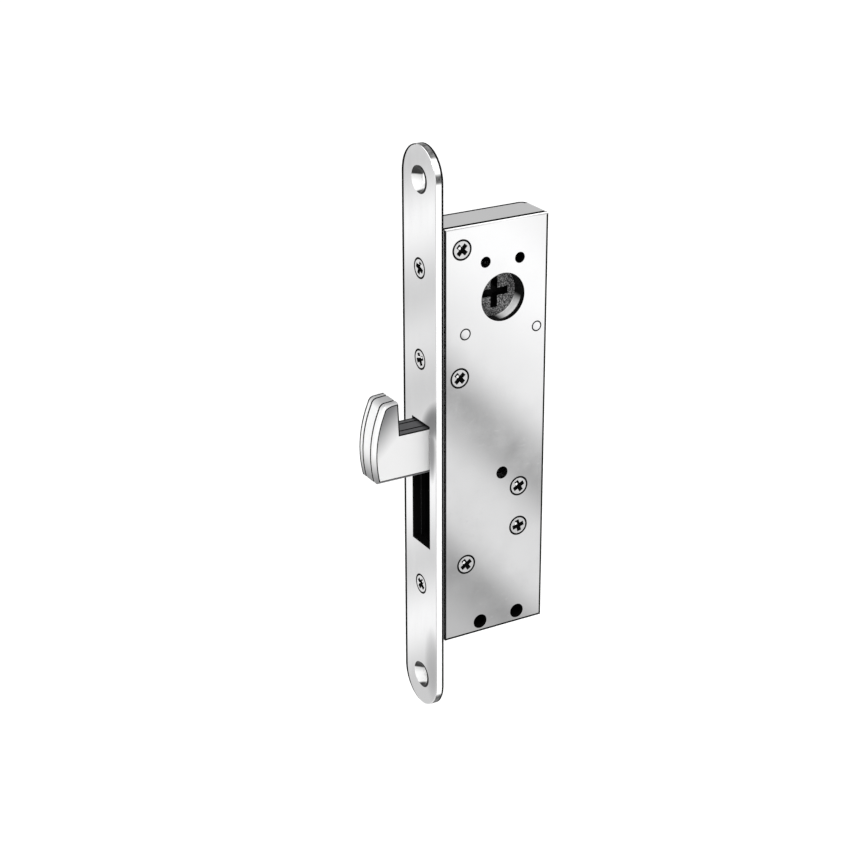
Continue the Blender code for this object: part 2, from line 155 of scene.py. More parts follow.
# Hook: points are (x, z)
PIVOT = (20.0, 2.0)
PIVOT_R = 3.0
PIVOT_STEP = 0.5  # the hole in the far sheet is this much smaller in radius than the pin
CRANK_R = 14.5
NECK_TOP = 7.2
HOOK_BOTTOM = -11.7
NOTCH_X = -12.6
TIP_FRONT = (-13.2, 20.4)
TIP_BACK = (-17.9, 20.1)
TIP_ROUND = (-19.2, 19.4)
TIP_SHOULDER = (-20.0, 17.9)
HEAD_MIDDLE = (-23.8, 1.3)
HEAD_BOTTOM_X = -22.5
BODY_END_X = 9.0
HUB_R = 9.0
FAR_HUB_R = 7.0
EYE_R = 4.0
HOOK_LAYERS = (  # node, hub radius, whether it has the tail, near and far rims
    ("hook_plate_near", HUB_R, False, (0.22, 0.3)),
    ("hook_core", HUB_R, True, (0.3, 0.3)),
    ("hook_plate_far", FAR_HUB_R, False, (0.3, 0.25)),
)
HOOK_RIVETS = ((8.0, 3.0), (8.0, -6.0))
HOOK_RIVET_R = 1.6
CRANK_HOLE_R = 2.3
TIP_STEPS = 5
BACK_STEPS = 32
EYE_STEPS = 20
TAIL_HUB = (-15, 24)  # where the hub's arc starts, in degrees, and its steps
PLAIN_HUB = (-125, 32)
# Painted dark reflection on the near hook plate: its darkest corner, and how far it takes to fade
NOSE_SHADE_CORNER = (-20.0, 16.0)
NOSE_SHADE_FADE = 16.5
NOSE_BEVEL = 0.9
TIP_BEVEL = 0.45
PLAIN_BEVEL = 0.04
LINE_WIDTH = 0.62
BACK_LINE = 0.38
FAR_LINE = 0.8
LINE_DEPTH = 0.12
NECK_MARGIN = 0.5
# Painted shade on the hook's edges, by height: from dark to clear low down, and from clear to dark at the top
HEAD_SHADE_BELOW = (-12.0, 3.0)
HEAD_SHADE_ABOVE = (21.5, 17.5)
FLAT_ON = 0.98  # the hook's faces that look along Y by more than this are flat

# Follower: points are (x, z)
FOLLOWER = (31.35, 55.8)
RECESS_R = 9.65
WEB_NEAR_Y = -3.05
WEB_FAR_Y = 3.05
JOURNAL_R = 10.75
CROSS_LENGTH = 12.4
MOUTH_Y = -7.3
# Painted highlight on the bored wall near its mouth, and painted light on the web
WALL_HIGHLIGHT_PLACE = (37.6, 48.4)
WALL_HIGHLIGHT_R = 7.0
WEB_LIGHT_PLACE = (36.0, 58.0)
WEB_LIGHT_R = 20.0
WALL_SKIN = 0.12
WEB_SKIN = 0.15
SLOT_SKIN = 0.2

# Screws
SHANK_R = 2.0
SHANK_CHAMFER = 0.6
HEAD_RING = 0.5
HEAD_ROUND = (0.08, 0.07)
HEAD_FLAT_ON = 0.99
HEAD_LAND = 0.2
CONE_DROP = 0.1
CROSS_RECESS = (5.6, 1.95)
RECESS_TAPER = (0.5, 0.6)  # length and width at the recess's floor, as shares of those at its mouth
RECESS_DEPTH = 1.0
RECESS_RISE = 0.2
HOLLOW_R = (1.25, 0.4)
HOLLOW_DEPTH = 1.3
HOLLOW_SHIFT = 0.45
SCREW_ANGLES = {
    "cover_screw_1": 47, "cover_screw_2": 42, "cover_screw_3": 28, "cover_screw_4": 14, "cover_screw_5": 33,
    "faceplate_screw_1": 20, "faceplate_screw_2": 62, "faceplate_screw_3": 35,
}

# Looks
PLATING = (0.90, 0.90, 0.905)
STEEL_CLOUD = 0.03
STEEL_WEAR = 0.04
GRAIN_DEPTH = 0.0002

# Studio: the cards are (place, share of white) pairs along a slanting band, and edges are heights of a
# direction, from where one thing ends to where the next is full
FRONT_CARDS = ((0.05, 0.74), (0.18, 0.6), (0.3, 0.87), (0.42, 0.86), (0.56, 0.62), (0.72, 0.92), (1.0, 1.0))
FRONT_SLANT = 1.15
FRONT_BAND = (0.02, 0.25)
BACK_CARDS = (
    (0.05, 0.79), (0.15, 0.98), (0.26, 0.82), (0.39, 0.98), (0.58, 0.8), (0.68, 0.89), (0.76, 0.81),
    (0.89, 0.98), (1.0, 0.78),
)
BACK_SLANT = 0.9
BACK_BAND = (0.16, 0.33)
BLACK_CARD = (0.455, 0.80, -0.39)
BLACK_CARD_EDGE = (0.95, 0.985)
BLACK_CARD_LEVEL = 0.03
SKY_LOW = 0.95
SKY_HIGH = 0.83
SKY_BEHIND = 0.74
CEILING_LEVEL = 1.7
CEILING_EDGE = (0.62, 0.80)
SKY_FADE = (0.0, 0.45)
HORIZON_EDGE = (-0.06, 0.04)
BEHIND_EDGE = (-0.2, 0.2)
FLOOR_DROP = 0.18
FLOOR_RADIUS = 6.0
LAMP_PLACE = (-0.75, -0.95, 1.15)
LAMP_SIZE = 0.7
LAMP_POWER = 8.0


# ---------------------------------------------------------------- shapes

def place(a, b, along, axis):
    """The point (a, b) of an outline, at a distance along the axis that the outline faces."""
    return Vector({"X": (along, a, b), "Y": (a, along, b), "Z": (a, b, along)}[axis]) * MM


def make_piece(name, bm, material=None):
    mesh = bpy.data.meshes.new(name)
    if material:
        mesh.materials.append(material)
    bmesh.ops.recalc_face_normals(bm, faces=bm.faces)
    bm.to_mesh(mesh)
    bm.free()
    piece = bpy.data.objects.new(name, mesh)
    bpy.context.scene.collection.objects.link(piece)
    return piece


def loft(name, rows, axis, material=None):
    """A closed solid through (outline, distance along the axis) rows of equally many points."""
    bm = bmesh.new()
    made = [[bm.verts.new(place(a, b, along, axis)) for a, b in outline] for outline, along in rows]
    bm.faces.new(made[0])
    bm.faces.new(made[-1])
    for lower, upper in zip(made, made[1:]):
        for i in range(len(lower)):
            j = (i + 1) % len(lower)
            bm.faces.new((lower[i], lower[j], upper[j], upper[i]))
    return make_piece(name, bm, material)


def inset(outline, distance):
    """The outline moved inwards, by one distance or by one for each edge, with mitred corners."""
    count = len(outline)
    amounts = distance if isinstance(distance, list) else [distance] * count
    points = [Vector(p) for p in outline]
    area = sum(points[i - 1].cross(points[i]) for i in range(count))
    side = 1 if area > 0 else -1
    moved = []
    for i in range(count):
        before = (points[i] - points[i - 1]).normalized()
        after = (points[(i + 1) % count] - points[i]).normalized()
        first = Vector((-before.y, before.x)) * side
        second = Vector((-after.y, after.x)) * side
        shared = first.dot(second)
        if amounts[i - 1] == amounts[i]:
            offset = (first + second) * amounts[i] / (1 + shared)
        else:
            spread = 1 - shared * shared
            offset = first * (amounts[i - 1] - shared * amounts[i]) / spread
            offset += second * (amounts[i] - shared * amounts[i - 1]) / spread
        moved.append(tuple(points[i] + offset))
    return moved


def prism(name, outline, span, axis, material):
    return loft(name, [(outline, along) for along in span], axis, material)


def widest(amount):
    """The inset, or the largest of an outline's insets."""
    return max(amount) if isinstance(amount, list) else amount


def rounded_prism(name, outline, span, edges, axis, material, borders):
    """A prism whose two rims are rounded, each with its own radius.

    borders are extra (inset, distance along the axis) rings before the rims, between them or after them,
    which mark off strips for paint.
    """
    low, high = span
    rows = list(borders)
    for i in range(EDGE_STEPS + 1):
        angle = math.pi / 2 * i / EDGE_STEPS
        rows.append((edges[0] * (1 - math.sin(angle)), low + edges[0] * (1 - math.cos(angle))))
        rows.append((edges[1] * (1 - math.sin(angle)), high - edges[1] * (1 - math.cos(angle))))
    middle = (low + high) / 2
    rows.sort(key=lambda row: (row[1], -widest(row[0]) if row[1] < middle else widest(row[0])))
    return loft(name, [(inset(outline, amount), along) for amount, along in rows], axis, material)


def turned(name, profile, centre, axis, steps, material):
    """A solid of revolution from (radius, distance along the axis) pairs."""
    return loft(name, [(circle(centre, radius, steps), along) for radius, along in profile], axis, material)


def arc(centre, radius, start, end, steps):
    """Points from one angle to another, in degrees, both ends included."""
    points = []
    for i in range(steps + 1):
        angle = math.radians(start + (end - start) * i / steps)
        points.append((centre[0] + radius * math.cos(angle), centre[1] + radius * math.sin(angle)))
    return points


def circle(centre, radius, steps):
    return arc(centre, radius, 0, 360, steps)[:-1]


def rectangle(low_a, high_a, low_b, high_b):
    return [(low_a, low_b), (high_a, low_b), (high_a, high_b), (low_a, high_b)]


def arc_through(first, middle, last, steps):
    """The arc from first to last that passes through middle."""
    start, via, end = (Vector(p) for p in (first, middle, last))
    left, right = via - start, end - start
    cross = 2 * left.cross(right)
    offset = Vector((
        right.y * left.length_squared - left.y * right.length_squared,
        left.x * right.length_squared - right.x * left.length_squared,
    )) / cross
    centre = start + offset
    begin = math.degrees(math.atan2(start.y - centre.y, start.x - centre.x))
    stop = math.degrees(math.atan2(end.y - centre.y, end.x - centre.x))
    turn = (stop - begin) % 360
    if cross < 0:
        turn -= 360
    return arc(tuple(centre), offset.length, begin, begin + turn, steps)


def cross_outline(centre, length, width, turn):
    """An upright cross, turned by an angle in degrees."""
    long, short = length / 2, width / 2
    points = []
    for quarter in range(4):
        angle = math.radians(90 * quarter + turn)
        for a, b in ((long, -short), (long, short), (short, short)):
            points.append((
                centre[0] + a * math.cos(angle) - b * math.sin(angle),
                centre[1] + a * math.sin(angle) + b * math.cos(angle),
            ))
    return points


def cut(piece, tool):
    """Cuts the tool out of the piece and removes the tool.

    The faces that a tool with a material makes take that material.
    """
    modifier = piece.modifiers.new(tool.name, "BOOLEAN")
    modifier.operation = "DIFFERENCE"
    modifier.solver = "EXACT"
    modifier.object = tool
    if tool.data.materials:
        modifier.material_mode = "TRANSFER"
    settle(piece)
    bpy.data.objects.remove(tool)


def settle(piece):
    """Applies the piece's modifiers."""
    graph = bpy.context.evaluated_depsgraph_get()
    graph.update()
    mesh = bpy.data.meshes.new_from_object(piece.evaluated_get(graph))
    piece.modifiers.clear()
    old = piece.data
    piece.data = mesh
    bpy.data.meshes.remove(old)


def bore(name, centre, radius, faces, material=None, steps=SMALL_STEPS):
    """A through hole along Y, between two faces."""
    return turned(name, [(radius, faces[0] - PAST), (radius, faces[1] + PAST)], centre, "Y", steps, material)


def paint(piece, material, chosen):
    """Gives a material to the faces that are chosen by their middle, in millimetres, and their normal."""
    piece.data.materials.append(material)
    index = len(piece.data.materials) - 1
    for face in piece.data.polygons:
        if chosen(face.center / MM, face.normal):
            face.material_index = index


def finish_piece(piece, body, node):
    """Smooth shading that keeps flat faces flat, then the body and the CAD node that the piece stands for."""
    piece.data.shade_smooth()
    piece.data.set_sharp_from_angle(angle=math.radians(SHARP_ANGLE))
    weighted = piece.modifiers.new("flat_faces", "WEIGHTED_NORMAL")
    weighted.keep_sharp = True
    weighted.weight = 100
    settle(piece)
    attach(piece, body)
    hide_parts(node)


def node_box(name):
    """The CAD node's box in millimetres."""
    low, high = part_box(name)
    return low / MM, high / MM


# ---------------------------------------------------------------- materials

class Graph:
    """Short calls for building a node tree."""

    def __init__(self, tree):
        self.tree = tree

    def node(self, kind, **settings):
        made = self.tree.nodes.new(kind)
        for key, value in settings.items():
            setattr(made, key, value)
        return made

    def link(self, output, socket):
        self.tree.links.new(output, socket)

    def feed(self, socket, value):
        if isinstance(value, bpy.types.NodeSocket):
            self.link(value, socket)
        else:
            socket.default_value = value

    def math(self, operation, *values, clamp=False):
        made = self.node("ShaderNodeMath", operation=operation, use_clamp=clamp)
        for socket, value in zip(made.inputs, values):
            self.feed(socket, value)
        return made.outputs[0]

    def smooth(self, value, low, high, to_low=0.0, to_high=1.0):
        """A soft step from to_low at low to to_high at high."""
        made = self.node("ShaderNodeMapRange", interpolation_type="SMOOTHSTEP")
        for socket, given in zip(made.inputs, (value, low, high, to_low, to_high)):
            self.feed(socket, given)
        return made.outputs[0]

    def stretch(self, value, low, high, to_low, to_high):
        made = self.node("ShaderNodeMapRange")
        for socket, given in zip(made.inputs, (value, low, high, to_low, to_high)):
            self.feed(socket, given)
        return made.outputs[0]

    def mix(self, share, first, second):
        made = self.node("ShaderNodeMix", data_type="FLOAT")
        self.feed(made.inputs["Factor"], share)
        self.feed(made.inputs["A"], first)
        self.feed(made.inputs["B"], second)
        return made.outputs["Result"]

    def ramp(self, value, stops):
        """A ramp of (place, brightness) pairs."""
        made = self.node("ShaderNodeValToRGB")
        made.color_ramp.interpolation = "EASE"
        elements = made.color_ramp.elements
        while len(elements) < len(stops):
            elements.new(1.0)
        for element, (at, level) in zip(elements, stops):
            element.position = at
            element.color = (level, level, level, 1.0)
        self.feed(made.inputs[0], value)
        return made.outputs[0]

    def noise(self, vector, scale, detail, rough):
        made = self.node("ShaderNodeTexNoise")
        self.feed(made.inputs["Vector"], vector)
        made.inputs["Scale"].default_value = scale
        made.inputs["Detail"].default_value = detail
        made.inputs["Roughness"].default_value = rough
        return made.outputs["Fac"]

    def scaled(self, vector, scale):
        made = self.node("ShaderNodeMapping")
        self.feed(made.inputs["Vector"], vector)
        made.inputs["Scale"].default_value = scale
        return made.outputs["Vector"]

    def bump(self, height, strength, distance, normal=None):
        made = self.node("ShaderNodeBump")
        self.feed(made.inputs["Strength"], strength)
        made.inputs["Distance"].default_value = distance
        self.feed(made.inputs["Height"], height)
        if normal:
            self.link(normal, made.inputs["Normal"])
        return made.outputs["Normal"]

    def blend(self, share, first, second):
        """A colour between two, each a socket or three numbers."""
        made = self.node("ShaderNodeMix", data_type="RGBA")
        self.feed(made.inputs["Factor"], share)
        for name, colour in (("A", first), ("B", second)):
            if isinstance(colour, bpy.types.NodeSocket):
                self.link(colour, made.inputs[name])
            else:
                made.inputs[name].default_value = (*colour, 1.0)
        return made.outputs["Result"]

    def grey(self, level):
        made = self.node("ShaderNodeCombineColor")
        for socket in made.inputs:
            self.feed(socket, level)
        return made.outputs[0]

    def within(self, value, edge):
        """0 at the first of two places and 1 at the second, both in millimetres."""
        return self.smooth(value, edge[0] * MM, edge[1] * MM)

    def squares(self, a, b):
        """The sum of two squares."""
        return self.math("ADD", self.math("MULTIPLY", a, a), self.math("MULTIPLY", b, b))

    def parts(self, vector):
        made = self.node("ShaderNodeSeparateXYZ")
        self.link(vector, made.inputs[0])
        return made.outputs

    def patch(self, plane, place_at, size, turn):
        """A soft patch, 1 in its middle, on a plane: its place and size are in millimetres."""
        a = self.math("SUBTRACT", plane[0], place_at[0] * MM)
        b = self.math("SUBTRACT", plane[1], place_at[1] * MM)
        cosine, sine = math.cos(math.radians(turn)), math.sin(math.radians(turn))
        along = self.math("ADD", self.math("MULTIPLY", a, cosine), self.math("MULTIPLY", b, sine))
        across = self.math("SUBTRACT", self.math("MULTIPLY", b, cosine), self.math("MULTIPLY", a, sine))
        along = self.math("DIVIDE", along, size[0] * MM)
        across = self.math("DIVIDE", across, size[1] * MM)
        return self.smooth(self.squares(along, across), 1.0, 0.0)


def new_material(name):
    made = bpy.data.materials.new(name)
    made.use_nodes = True
    graph = Graph(made.node_tree)
    shader = made.node_tree.nodes["Principled BSDF"]
    position = graph.node("ShaderNodeTexCoord").outputs["Object"]
    return made, graph, shader, position


def plated(name, colour, roughness, grain, grain_bump):
    """Plated or ground steel: fine grain along one axis, faint clouds of colour, and small handling marks.

    grain is how many times finer the surface is along each axis.
    """
    made, graph, shader, position = new_material(name)
    streaks = graph.noise(graph.scaled(position, grain), 90.0, 6.0, 0.6)
    clouds = graph.noise(position, 28.0, 3.0, 0.45)
    marks = graph.noise(graph.scaled(position, (1.0, 1.0, 1.6)), 420.0, 2.0, 0.5)
    dark = tuple(channel * (1 - STEEL_CLOUD) for channel in colour)
    light = tuple(min(1.0, channel * (1 + STEEL_CLOUD)) for channel in colour)
    graph.link(graph.blend(clouds, dark, light), shader.inputs["Base Color"])
    spread = graph.stretch(streaks, 0.3, 0.7, roughness - 0.02, roughness + 0.03)
    worn = graph.smooth(marks, 0.62, 0.8, 0.0, STEEL_WEAR)
    graph.link(graph.math("ADD", spread, worn), shader.inputs["Roughness"])
    shader.inputs["Metallic"].default_value = 1.0
    graph.link(graph.bump(streaks, grain_bump, GRAIN_DEPTH), shader.inputs["Normal"])
    return made, graph, shader, position


def steel(name, colour, roughness, grain, grain_bump):
    """A plated or ground steel with no marks of its own."""
    return plated(name, colour, roughness, grain, grain_bump)[0]


def painted_shade_black(name, level):
    """Flat black with no shine, for painted shade: the depth of a recess, a dark inside face and a dark line
    along an edge.
    """
    made, graph, shader, position = new_material(name)
    grain = graph.noise(position, 900.0, 2.0, 0.5)
    graph.link(graph.blend(grain, (level * 0.6,) * 3, (level * 1.4,) * 3), shader.inputs["Base Color"])
    graph.link(graph.stretch(grain, 0.3, 0.7, 0.6, 0.8), shader.inputs["Roughness"])
    shader.inputs["Specular IOR Level"].default_value = 0.0
    return made


def satin(name, roughness, metallic):
    """Fine satin-ground steel with a faint grain, which scatters light. Its colour is left to the caller."""
    made, graph, shader, position = new_material(name)
    grain = graph.noise(graph.scaled(position, (0.8, 3.0, 2.0)), 260.0, 5.0, 0.6)
    graph.link(graph.stretch(grain, 0.3, 0.7, roughness - 0.04, roughness + 0.05), shader.inputs["Roughness"])
    shader.inputs["Metallic"].default_value = metallic
    graph.link(graph.bump(grain, 0.04, GRAIN_DEPTH), shader.inputs["Normal"])
    return made, graph, shader, position


def shaded_edge_steel(name):
    """The hook's ground edges: satin, with painted shade towards the bottom of the head and on top of the
    nose.
    """
    made, graph, shader, position = satin(name, 0.38, 0.35)
    _, _, z = graph.parts(position)
    low = graph.within(z, HEAD_SHADE_BELOW)
    high = graph.within(z, HEAD_SHADE_ABOVE)
    share = graph.math("MULTIPLY", low, high)
    graph.link(graph.blend(share, (0.22, 0.22, 0.225), (0.92, 0.92, 0.92)), shader.inputs["Base Color"])
    return made


def nose_reflection_steel(name):
    """The near hook plate: satin white, with a painted dark reflection from the nose down to the middle of
    its back.
    """
    made, graph, shader, position = satin(name, 0.42, 0.3)
    x, _, z = graph.parts(position)
    along = graph.math("DIVIDE", graph.math("SUBTRACT", x, NOSE_SHADE_CORNER[0] * MM), NOSE_SHADE_FADE * MM)
    down = graph.math("DIVIDE", graph.math("SUBTRACT", NOSE_SHADE_CORNER[1] * MM, z), NOSE_SHADE_FADE * MM)
    share = graph.smooth(graph.math("ADD", along, down, clamp=True), -0.1, 1.25)
    graph.link(graph.blend(share, (0.16, 0.16, 0.165), (0.87, 0.87, 0.87)), shader.inputs["Base Color"])
    return made


def casting(name):
    """The follower: sintered iron with a sparkling grain and a painted pool of light on the web, a bored wall
    round it painted black as shade but for a painted highlight near its mouth, and a cross slot painted black
    as shade.
    """
    made, graph, shader, position = new_material(name)
    x, y, z = graph.parts(position)
    grain = graph.noise(position, 2200.0, 3.0, 0.7)
    lumps = graph.noise(position, 260.0, 2.0, 0.5)
    speckle = graph.smooth(grain, 0.42, 0.72)
    # Painted light: a pool of light brightens the web's grains round one place
    bright = graph.patch((x, z), WEB_LIGHT_PLACE, (WEB_LIGHT_R, WEB_LIGHT_R), 0.0)
    sparkle = graph.blend(bright, (0.14, 0.14, 0.14), (0.64, 0.64, 0.64))
    web = graph.blend(speckle, (0.02, 0.02, 0.021), sparkle)
    across = graph.math("SUBTRACT", x, FOLLOWER[0] * MM)
    upward = graph.math("SUBTRACT", z, FOLLOWER[1] * MM)
    radius = graph.math("SQRT", graph.squares(across, upward))
    wall = graph.math("GREATER_THAN", radius, (RECESS_R - WALL_SKIN) * MM)
    deep_near = graph.math("GREATER_THAN", y, (WEB_NEAR_Y + WEB_SKIN) * MM)
    deep_far = graph.math("LESS_THAN", y, (WEB_FAR_Y - WEB_SKIN) * MM)
    deep = graph.math("MULTIPLY", deep_near, deep_far)
    within_cross = graph.math("LESS_THAN", radius, (CROSS_LENGTH / 2 + SLOT_SKIN) * MM)
    slot = graph.math("MULTIPLY", deep, within_cross)
    mouth = graph.math("GREATER_THAN", y, MOUTH_Y * MM)
    # A painted highlight on the wall near the mouth; the rest of the wall is painted black as shade
    painted_patch = graph.patch((x, z), WALL_HIGHLIGHT_PLACE, (WALL_HIGHLIGHT_R, WALL_HIGHLIGHT_R), 0.0)
    bored = graph.blend(graph.math("MULTIPLY", painted_patch, mouth), (0.004, 0.004, 0.004), (0.95, 0.95, 0.95))
    shallow_wall = graph.math("MULTIPLY", wall, graph.math("SUBTRACT", 1.0, deep))
    # The cross slot is painted black as shade
    colour = graph.blend(slot, graph.blend(shallow_wall, web, bored), (0.002, 0.002, 0.002))
    graph.link(colour, shader.inputs["Base Color"])
    graph.link(graph.stretch(lumps, 0.3, 0.7, 0.42, 0.60), shader.inputs["Roughness"])
    graph.link(graph.mix(slot, graph.mix(wall, 0.4, 0.0), 0.0), shader.inputs["Metallic"])
    graph.link(graph.mix(graph.math("MAXIMUM", slot, wall), 0.5, 0.1), shader.inputs["Specular IOR Level"])
    fine = graph.bump(grain, graph.mix(wall, 0.5, 0.04), 0.0003)
    graph.link(graph.bump(lumps, 0.2, 0.0004, fine), shader.inputs["Normal"])
    return made


def countersink(name):
    """The cone of a fixing hole: light grey across its middle, with black painted shade above and in its
    lower near corner.
    """
    made, graph, shader, position = satin(name, 0.35, 0.2)
    _, y, z = graph.parts(position)
    middle = graph.math("MULTIPLY", graph.math("SIGN", z), FIXING_Z * MM)
    height = graph.math("SUBTRACT", z, middle)
    # Painted shade: black above the middle and in the lower near corner, faint from a little below the middle
    # upwards
    above = graph.within(height, SINK_SHADE_ABOVE)
    corner = graph.math("ADD", height, graph.math("MULTIPLY", y, SINK_SHADE_LEAN))
    under = graph.within(corner, SINK_SHADE_CORNER)
    soft = graph.math("MULTIPLY", graph.within(height, SINK_SOFT_SHADE), SINK_SOFT_SHADE_SHARE)
    share = graph.math("MAXIMUM", graph.math("MAXIMUM", above, under), soft)
    graph.link(graph.blend(share, (0.90, 0.90, 0.90), (0.018, 0.018, 0.018)), shader.inputs["Base Color"])
    return made


def plate_edge(name):
    """The satin edge of the plates, with painted shade over the faceplate's rounded ends and at one place
    where the upper end starts to round, mottled by noise.
    """
    made, graph, shader, position = satin(name, 0.5, 0.0)
    _, _, z = graph.parts(position)
    clouds = graph.noise(position, 60.0, 3.0, 0.5)
    plain = graph.grey(graph.math("MULTIPLY", 0.99, graph.stretch(clouds, 0.3, 0.7, 0.975, 1.0)))
    # Painted shade by height; noise mottles it, and it also dims the shine
    upper = graph.within(z, UPPER_EDGE_SHADE)
    lower = graph.within(graph.math("MULTIPLY", z, -1.0), LOWER_EDGE_SHADE)
    away = graph.math("ABSOLUTE", graph.math("SUBTRACT", z, EDGE_SHADE_SPOT_Z * MM))
    edge_shade_spot = graph.within(away, EDGE_SHADE_SPOT_HALF)
    share = graph.math("MAXIMUM", graph.math("MAXIMUM", upper, lower), edge_shade_spot)
    shade_mottle = graph.stretch(graph.noise(position, 700.0, 2.0, 0.5), 0.35, 0.65, 0.85, 0.98)
    share = graph.math("MULTIPLY", share, shade_mottle)
    graph.link(graph.blend(share, plain, (0.04, 0.04, 0.04)), shader.inputs["Base Color"])
    graph.link(graph.mix(share, 0.5, 0.05), shader.inputs["Specular IOR Level"])
    return made


def plate_face(name):
    """The faceplate's polished face, with painted shade beside the bolt's slot and low down, and a painted
    black shadow at the near side of each fixing hole.
    """
    made, graph, shader, position = plated(name, PLATING, 0.06, (3.0, 3.0, 0.6), 0.008)
    plain = shader.inputs["Base Color"].links[0].from_socket
    x, y, z = graph.parts(position)
    front = graph.math("LESS_THAN", x, PLATE_FACE_DEPTH * MM)
    # Painted shade: dark patches beside the bolt's slot and near the bottom end
    slot_shade = graph.patch((y, z), SHADE_PATCH_PLACE, SHADE_PATCH_SIZE, SHADE_PATCH_TURN)
    low = graph.patch((y, z), LOW_SHADE_PLACE, LOW_SHADE_SIZE, 0.0)
    bottom_shade = graph.patch((y, z), BOTTOM_SHADE_PLACE, BOTTOM_SHADE_SIZE, 0.0)
    share = graph.math("MAXIMUM", slot_shade, graph.math("MULTIPLY", low, LOW_SHADE_SHARE))
    share = graph.math("MAXIMUM", share, graph.math("MULTIPLY", bottom_shade, BOTTOM_SHADE_SHARE))
    share = graph.math("MULTIPLY", graph.math("MULTIPLY", share, SHADE_PATCH_DEPTH), front)
    painted_patch = graph.blend(share, plain, (0.12, 0.12, 0.125))
    # A painted black shadow on the near side of each fixing hole's cone
    height = graph.math("SUBTRACT", graph.math("ABSOLUTE", z), FIXING_Z * MM)
    across = graph.math("ADD", y, SHADOW_CRESCENT_SHIFT * MM)
    away = graph.math("SQRT", graph.squares(across, height))
    rim = [FIXING_SINK_R + fade for fade in SHADOW_CRESCENT_FADE]
    crescent = graph.math("MULTIPLY", graph.within(away, rim), front)
    graph.link(graph.blend(crescent, painted_patch, (0.006, 0.006, 0.006)), shader.inputs["Base Color"])
    return made


MATERIALS = {
    "faceplate": plate_face("faceplate_plating_painted_shade"),
    "countersink": countersink("countersink_painted_shade"),
    "plate_edge": plate_edge("plate_edge_satin_painted_shade"),
    "case_sheet": steel("case_plating", PLATING, 0.055, (0.8, 3.0, 0.8), 0.008),
    "hook_steel": nose_reflection_steel("hook_steel_painted_reflection"),
    "hook_edge": shaded_edge_steel("hook_edge_painted_shade"),
    "neck_steel": steel("hook_neck_painted_shade", (0.13, 0.13, 0.135), 0.45, (2.0, 4.0, 2.0), 0.03),
    "screw_steel": steel("screw_zinc", (0.86, 0.86, 0.865), 0.22, (1.0, 1.0, 1.0), 0.03),
    "shadow": painted_shade_black("painted_shade_depth", 0.004),
    "edge_line": painted_shade_black("painted_edge_shade", 0.008),
    "cast_follower": casting("follower_casting_painted_light_and_shade"),
    "inner_steel": steel("inner_plain_steel", (0.30, 0.30, 0.31), 0.40, (1.0, 1.0, 1.0), 0.05),
    "spring_steel": steel("spring_blued_steel", (0.16, 0.17, 0.20), 0.30, (0.5, 2.0, 2.0), 0.03),
}


# ---------------------------------------------------------------- pieces

Screw = namedtuple("Screw", "name centre face head_r end axis")


def find_screws():
    """Every screw in the frame, with its centre across its axis, and its face and end along it."""
    screws = []
    for name in sorted(frame["nodes"]):
        if "_screw_" not in name:
            continue
        low, high = node_box(name)
        middle = (low + high) / 2
        if name.startswith("cover"):
            screws.append(Screw(name, (middle.x, middle.z), low.y, (high.x - low.x) / 2, high.y, "Y"))
        else:
            screws.append(Screw(name, (middle.y, middle.z), low.x, (high.z - low.z) / 2, high.x, "X"))
    return screws


SCREWS = find_screws()
SHADOW = MATERIALS["shadow"]
EDGE_LINE = MATERIALS["edge_line"]


def bolt_slot():
    """The outline of the slot that the hook swings through, in the middle of the case's thickness."""
    middle = (node_box("case_cover")[0].y + node_box("case_body")[1].y) / 2
    return rectangle(middle - SLOT_HALF_WIDTH, middle + SLOT_HALF_WIDTH, SLOT_BOTTOM, SLOT_TOP)


def build_faceplate():
    low, high = node_box("faceplate")
    radius = (high.y - low.y) / 2
    end = high.z - radius
    outline = arc((0, end), radius, 0, 180, SMALL_STEPS) + arc((0, -end), radius, 180, 360, SMALL_STEPS)
    border = []
    for i, (y, z) in enumerate(outline):
        next_y, next_z = outline[(i + 1) % len(outline)]
        facing_far = (next_z - z) / math.hypot(next_y - y, next_z - z)
        border.append(PLATE_FRONT_EDGE + PLATE_LIP + PLATE_BORDER * max(0.0, facing_far) ** 2)
    rim = low.x + PLATE_FRONT_EDGE
    band = high.x - PLATE_REAR_BAND
    plate = rounded_prism(
        "faceplate_plate", outline, (low.x, high.x), (PLATE_FRONT_EDGE, PLATE_REAR_EDGE), "X",
        MATERIALS["faceplate"], [(border, low.x), (0.0, band)])
    paint(plate, MATERIALS["plate_edge"], lambda at, normal: rim < at.x < band)
    # Painted shade: black lines along the rear rim and the far side of the face
    paint(plate, EDGE_LINE, lambda at, normal: band < at.x < high.x - SKIN)
    paint(plate, EDGE_LINE, lambda at, normal: at.x < rim and at.y > radius / 8)
    slot = bolt_slot()
    flare = ((-SLOT_RIM - PAST, low.x - PAST), (0.0, low.x + SLOT_RIM), (0.0, high.x + PAST))
    cut(plate, loft("slot_tool", [(inset(slot, amount), along) for amount, along in flare], "X", SHADOW))
    for z in (FIXING_Z, -FIXING_Z):
        depth = FIXING_SINK_R - FIXING_R
        profile = [(FIXING_SINK_R + PAST, low.x - PAST), (FIXING_R, low.x + depth), (FIXING_R, high.x + PAST)]
        cut(plate, turned("fixing_tool", profile, (0, z), "X", ROUND_STEPS, MATERIALS["countersink"]))
    for screw in SCREWS:
        if screw.axis == "X":
            cut(plate, sink_tool(screw, high.x))
    finish_piece(plate, "case", "faceplate")


def sink_tool(screw, end):
    """The countersunk hole that a screw sits in, with the clearance round the screw."""
    mouth, shank = screw.head_r + GAP, SHANK_R + GAP
    profile = [(mouth + PAST, screw.face - PAST), (shank, screw.face + mouth - shank), (shank, end + PAST)]
    return turned("sink_tool", profile, screw.centre, screw.axis, SMALL_STEPS, SHADOW)


